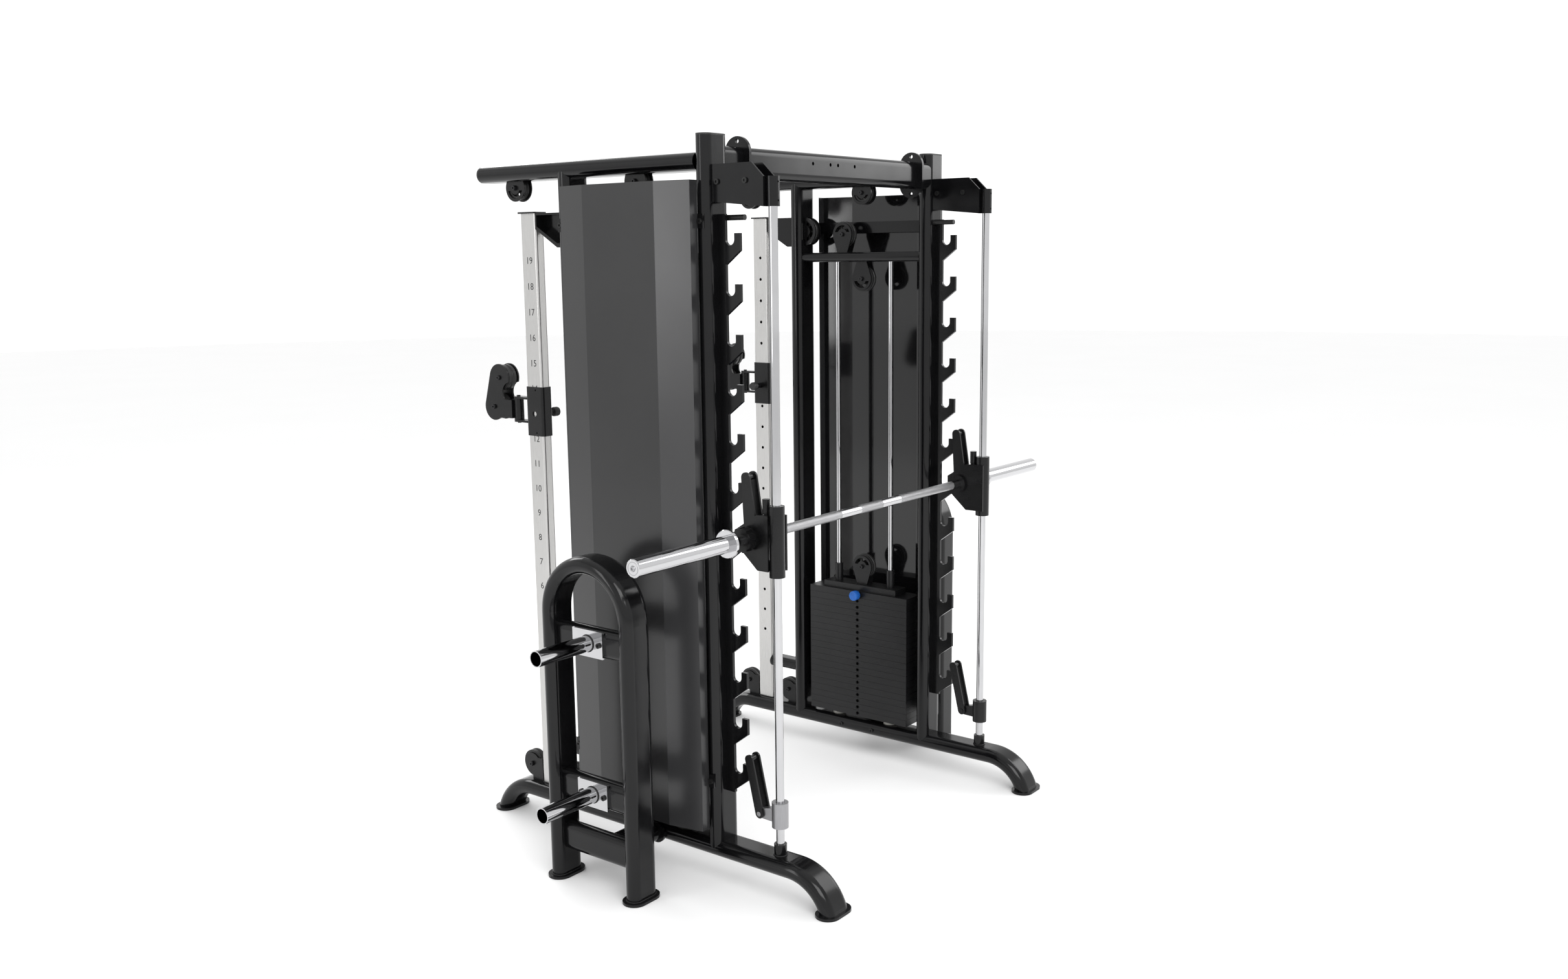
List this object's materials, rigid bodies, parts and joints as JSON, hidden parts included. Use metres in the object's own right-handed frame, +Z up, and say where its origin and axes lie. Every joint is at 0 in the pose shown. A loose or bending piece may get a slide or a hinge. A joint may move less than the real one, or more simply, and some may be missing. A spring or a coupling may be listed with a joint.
{
  "type": "smith machine",
  "caption": "Smith machine with guided bar, latch hooks, safety stops, twin cable columns with weight stacks and side plate storage arches.",
  "frame": {"origin": "on the floor, midway between the side frames and midway between the front and rear feet", "axes": "+X along the bar to the right when facing the machine from its front, +Y from the bar towards the cable columns, +Z up"},
  "size_m": [2.158, 1.431, 2.189],
  "materials": {
    "black_steel": "gloss powder coat",
    "bracket_black": "satin powder coat",
    "chrome": "polished chrome",
    "column_satin": "satin plated tube",
    "shroud_grey": "semi-gloss painted sheet",
    "plate_steel": "painted steel plate",
    "pulley_plastic": "moulded nylon",
    "knob_plastic": "moulded",
    "selector_blue": "moulded, blue",
    "stop_satin": "satin",
    "cap_plastic": "moulded",
    "foot_rubber": "gloss foot plate",
    "bumper_rubber": "light rubber",
    "black_bolts": "blackened"
  },
  "bodies": {
    "frame": {"anchor_plates": "black_steel", "arch_crossbars": "black_steel", "base_rails": "black_steel", "cable_columns": "column_satin", "column_braces": "black_steel", "foot_plates": "foot_rubber", "frame_fasteners": "black_bolts", "hook_racks": "black_steel", "plate_horns": "chrome", "pulley_brackets": "bracket_black", "rod_holders": "black_steel", "shroud_straps": "black_steel", "side_shrouds": "shroud_grey", "smith_rods": "chrome", "stack_bumpers": "bumper_rubber", "stack_crossmembers": "black_steel", "stack_guide_rods": "chrome", "storage_arches": "black_steel", "top_arms": "black_steel", "top_beam": "black_steel", "tube_caps": "cap_plastic", "uprights": "black_steel", "weight_plates": "plate_steel"},
    "carriage": {"smith_carriages": "bracket_black"},
    "bar": {"smith_bar": "chrome", "bar_latches": "bracket_black"},
    "stop_collar_left": {"stop_collar_left": "stop_satin"},
    "stop_arm_left": {"stop_arm_left": "bracket_black"},
    "trolley_left": {"trolley_left": "bracket_black"},
    "pop_pin_left": {"pop_pin_left": "knob_plastic"},
    "swivel_left": {"swivel_left": "bracket_black"},
    "pulley_swivel_upper_left": {"pulley_swivel_upper_left": "pulley_plastic"},
    "pulley_swivel_lower_left": {"pulley_swivel_lower_left": "pulley_plastic"},
    "stack_left": {"top_plate_left": "plate_steel"},
    "selector_left": {"selector_pin_left": "selector_blue"},
    "pulley_stack_left": {"pulley_stack_left": "pulley_plastic"},
    "pulley_arm_rear_left": {"pulley_arm_rear_left": "pulley_plastic"},
    "pulley_arm_middle_left": {"pulley_arm_middle_left": "pulley_plastic"},
    "pulley_upright_left": {"pulley_upright_left": "pulley_plastic"},
    "pulley_over_member_left": {"pulley_over_member_left": "pulley_plastic"},
    "pulley_under_member_left": {"pulley_under_member_left": "pulley_plastic"},
    "pulley_column_foot_left": {"pulley_column_foot_left": "pulley_plastic"},
    "pulley_upright_foot_left": {"pulley_upright_foot_left": "pulley_plastic"},
    "stop_collar_right": {"stop_collar_right": "bracket_black"},
    "stop_arm_right": {"stop_arm_right": "bracket_black"},
    "trolley_right": {"trolley_right": "bracket_black"},
    "pop_pin_right": {"pop_pin_right": "knob_plastic"},
    "swivel_right": {"swivel_right": "bracket_black"},
    "pulley_swivel_upper_right": {"pulley_swivel_upper_right": "pulley_plastic"},
    "pulley_swivel_lower_right": {"pulley_swivel_lower_right": "pulley_plastic"},
    "stack_right": {"top_plate_right": "plate_steel"},
    "selector_right": {"selector_pin_right": "selector_blue"},
    "pulley_stack_right": {"pulley_stack_right": "pulley_plastic"},
    "pulley_arm_rear_right": {"pulley_arm_rear_right": "pulley_plastic"},
    "pulley_arm_middle_right": {"pulley_arm_middle_right": "pulley_plastic"},
    "pulley_upright_right": {"pulley_upright_right": "pulley_plastic"},
    "pulley_over_member_right": {"pulley_over_member_right": "pulley_plastic"},
    "pulley_under_member_right": {"pulley_under_member_right": "pulley_plastic"},
    "pulley_column_foot_right": {"pulley_column_foot_right": "pulley_plastic"},
    "pulley_upright_foot_right": {"pulley_upright_foot_right": "pulley_plastic"}
  },
  "joints": [
    {"name": "bar_lift", "type": "slide", "parent": "frame", "child": "carriage", "axis": [0, 0, 1], "range_m": [-0.446, 0.7]},
    {"name": "bar_twist", "type": "hinge", "parent": "carriage", "child": "bar", "pos_m": [0, -0.4115, 1.065], "axis": [1, 0, 0], "range_deg": [-18.4, 20]},
    {"name": "stop_slide_left", "type": "slide", "parent": "frame", "child": "stop_collar_left", "axis": [0, 0, 1], "range_m": [-0.025, 0.14]},
    {"name": "stop_swing_left", "type": "hinge", "parent": "stop_collar_left", "child": "stop_arm_left", "pos_m": [-0.578, -0.4265, 0.243], "axis": [1, 0, 0], "range_deg": [-19, 25]},
    {"name": "trolley_slide_left", "type": "slide", "parent": "frame", "child": "trolley_left", "axis": [0, 0, 1], "range_m": [-0.96, 0.48]},
    {"name": "pop_pin_push_left", "type": "slide", "parent": "trolley_left", "child": "pop_pin_left", "axis": [-1, 0, 0], "range_m": [0, 0.011]},
    {"name": "swivel_turn_left", "type": "hinge", "parent": "trolley_left", "child": "swivel_left", "pos_m": [-0.578, 0.561, 1.365], "axis": [0, 0, 1], "range_deg": [-75, 75]},
    {"name": "spin_swivel_upper_left", "type": "hinge", "parent": "swivel_left", "child": "pulley_swivel_upper_left", "pos_m": [-0.578, 0.625, 1.474], "axis": [1, 0, 0], "continuous": true},
    {"name": "spin_swivel_lower_left", "type": "hinge", "parent": "swivel_left", "child": "pulley_swivel_lower_left", "pos_m": [-0.578, 0.652, 1.379], "axis": [1, 0, 0], "continuous": true},
    {"name": "stack_lift_left", "type": "slide", "parent": "frame", "child": "stack_left", "axis": [0, 0, 1], "range_m": [0, 0.9]},
    {"name": "selector_pull_left", "type": "slide", "parent": "stack_left", "child": "selector_left", "axis": [1, 0, 0], "range_m": [0, 0.065]},
    {"name": "spin_stack_left", "type": "hinge", "parent": "stack_left", "child": "pulley_stack_left", "pos_m": [-0.578, 0.004, 0.714], "axis": [1, 0, 0], "continuous": true},
    {"name": "spin_arm_rear_left", "type": "hinge", "parent": "frame", "child": "pulley_arm_rear_left", "pos_m": [-0.578, 0.518, 2.07], "axis": [1, 0, 0], "continuous": true},
    {"name": "spin_arm_middle_left", "type": "hinge", "parent": "frame", "child": "pulley_arm_middle_left", "pos_m": [-0.578, 0.004, 2.07], "axis": [1, 0, 0], "continuous": true},
    {"name": "spin_upright_left", "type": "hinge", "parent": "frame", "child": "pulley_upright_left", "pos_m": [-0.578, 0.258, 1.939], "axis": [1, 0, 0], "continuous": true},
    {"name": "spin_over_member_left", "type": "hinge", "parent": "frame", "child": "pulley_over_member_left", "pos_m": [-0.578, 0.088, 1.926], "axis": [1, 0, 0], "continuous": true},
    {"name": "spin_under_member_left", "type": "hinge", "parent": "frame", "child": "pulley_under_member_left", "pos_m": [-0.578, 0.004, 1.768], "axis": [1, 0, 0], "continuous": true},
    {"name": "spin_column_foot_left", "type": "hinge", "parent": "frame", "child": "pulley_column_foot_left", "pos_m": [-0.578, 0.549, 0.182], "axis": [1, 0, 0], "continuous": true},
    {"name": "spin_upright_foot_left", "type": "hinge", "parent": "frame", "child": "pulley_upright_foot_left", "pos_m": [-0.578, 0.354, 0.178], "axis": [1, 0, 0], "continuous": true},
    {"name": "stop_slide_right", "type": "slide", "parent": "frame", "child": "stop_collar_right", "axis": [0, 0, 1], "range_m": [-0.025, 0.14]},
    {"name": "stop_swing_right", "type": "hinge", "parent": "stop_collar_right", "child": "stop_arm_right", "pos_m": [0.578, -0.4265, 0.243], "axis": [1, 0, 0], "range_deg": [-19, 25]},
    {"name": "trolley_slide_right", "type": "slide", "parent": "frame", "child": "trolley_right", "axis": [0, 0, 1], "range_m": [-0.96, 0.48]},
    {"name": "pop_pin_push_right", "type": "slide", "parent": "trolley_right", "child": "pop_pin_right", "axis": [1, 0, 0], "range_m": [0, 0.011]},
    {"name": "swivel_turn_right", "type": "hinge", "parent": "trolley_right", "child": "swivel_right", "pos_m": [0.578, 0.561, 1.365], "axis": [0, 0, 1], "range_deg": [-75, 75]},
    {"name": "spin_swivel_upper_right", "type": "hinge", "parent": "swivel_right", "child": "pulley_swivel_upper_right", "pos_m": [0.578, 0.625, 1.474], "axis": [1, 0, 0], "continuous": true},
    {"name": "spin_swivel_lower_right", "type": "hinge", "parent": "swivel_right", "child": "pulley_swivel_lower_right", "pos_m": [0.578, 0.652, 1.379], "axis": [1, 0, 0], "continuous": true},
    {"name": "stack_lift_right", "type": "slide", "parent": "frame", "child": "stack_right", "axis": [0, 0, 1], "range_m": [0, 0.9]},
    {"name": "selector_pull_right", "type": "slide", "parent": "stack_right", "child": "selector_right", "axis": [-1, 0, 0], "range_m": [0, 0.065]},
    {"name": "spin_stack_right", "type": "hinge", "parent": "stack_right", "child": "pulley_stack_right", "pos_m": [0.578, 0.004, 0.714], "axis": [1, 0, 0], "continuous": true},
    {"name": "spin_arm_rear_right", "type": "hinge", "parent": "frame", "child": "pulley_arm_rear_right", "pos_m": [0.578, 0.518, 2.07], "axis": [1, 0, 0], "continuous": true},
    {"name": "spin_arm_middle_right", "type": "hinge", "parent": "frame", "child": "pulley_arm_middle_right", "pos_m": [0.578, 0.004, 2.07], "axis": [1, 0, 0], "continuous": true},
    {"name": "spin_upright_right", "type": "hinge", "parent": "frame", "child": "pulley_upright_right", "pos_m": [0.578, 0.258, 1.939], "axis": [1, 0, 0], "continuous": true},
    {"name": "spin_over_member_right", "type": "hinge", "parent": "frame", "child": "pulley_over_member_right", "pos_m": [0.578, 0.088, 1.926], "axis": [1, 0, 0], "continuous": true},
    {"name": "spin_under_member_right", "type": "hinge", "parent": "frame", "child": "pulley_under_member_right", "pos_m": [0.578, 0.004, 1.768], "axis": [1, 0, 0], "continuous": true},
    {"name": "spin_column_foot_right", "type": "hinge", "parent": "frame", "child": "pulley_column_foot_right", "pos_m": [0.578, 0.549, 0.182], "axis": [1, 0, 0], "continuous": true},
    {"name": "spin_upright_foot_right", "type": "hinge", "parent": "frame", "child": "pulley_upright_foot_right", "pos_m": [0.578, 0.354, 0.178], "axis": [1, 0, 0], "continuous": true}
  ],
  "couplings": [
    {"joint": "spin_swivel_lower_left", "follows": "spin_swivel_upper_left", "ratio": -1},
    {"joint": "spin_stack_left", "follows": "stack_lift_left", "rad_per_m": 22.222},
    {"joint": "spin_arm_rear_left", "follows": "stack_lift_left", "rad_per_m": 27.778},
    {"joint": "spin_arm_middle_left", "follows": "stack_lift_left", "rad_per_m": 27.778},
    {"joint": "spin_upright_left", "follows": "stack_lift_left", "rad_per_m": -22.222},
    {"joint": "spin_over_member_left", "follows": "stack_lift_left", "rad_per_m": -22.222},
    {"joint": "spin_under_member_left", "follows": "stack_lift_left", "rad_per_m": 22.222},
    {"joint": "spin_column_foot_left", "follows": "stack_lift_left", "rad_per_m": -22.222},
    {"joint": "spin_upright_foot_left", "follows": "stack_lift_left", "rad_per_m": 22.222},
    {"joint": "spin_swivel_lower_right", "follows": "spin_swivel_upper_right", "ratio": -1},
    {"joint": "spin_stack_right", "follows": "stack_lift_right", "rad_per_m": 22.222},
    {"joint": "spin_arm_rear_right", "follows": "stack_lift_right", "rad_per_m": 27.778},
    {"joint": "spin_arm_middle_right", "follows": "stack_lift_right", "rad_per_m": 27.778},
    {"joint": "spin_upright_right", "follows": "stack_lift_right", "rad_per_m": -22.222},
    {"joint": "spin_over_member_right", "follows": "stack_lift_right", "rad_per_m": -22.222},
    {"joint": "spin_under_member_right", "follows": "stack_lift_right", "rad_per_m": 22.222},
    {"joint": "spin_column_foot_right", "follows": "stack_lift_right", "rad_per_m": -22.222},
    {"joint": "spin_upright_foot_right", "follows": "stack_lift_right", "rad_per_m": 22.222}
  ]
}
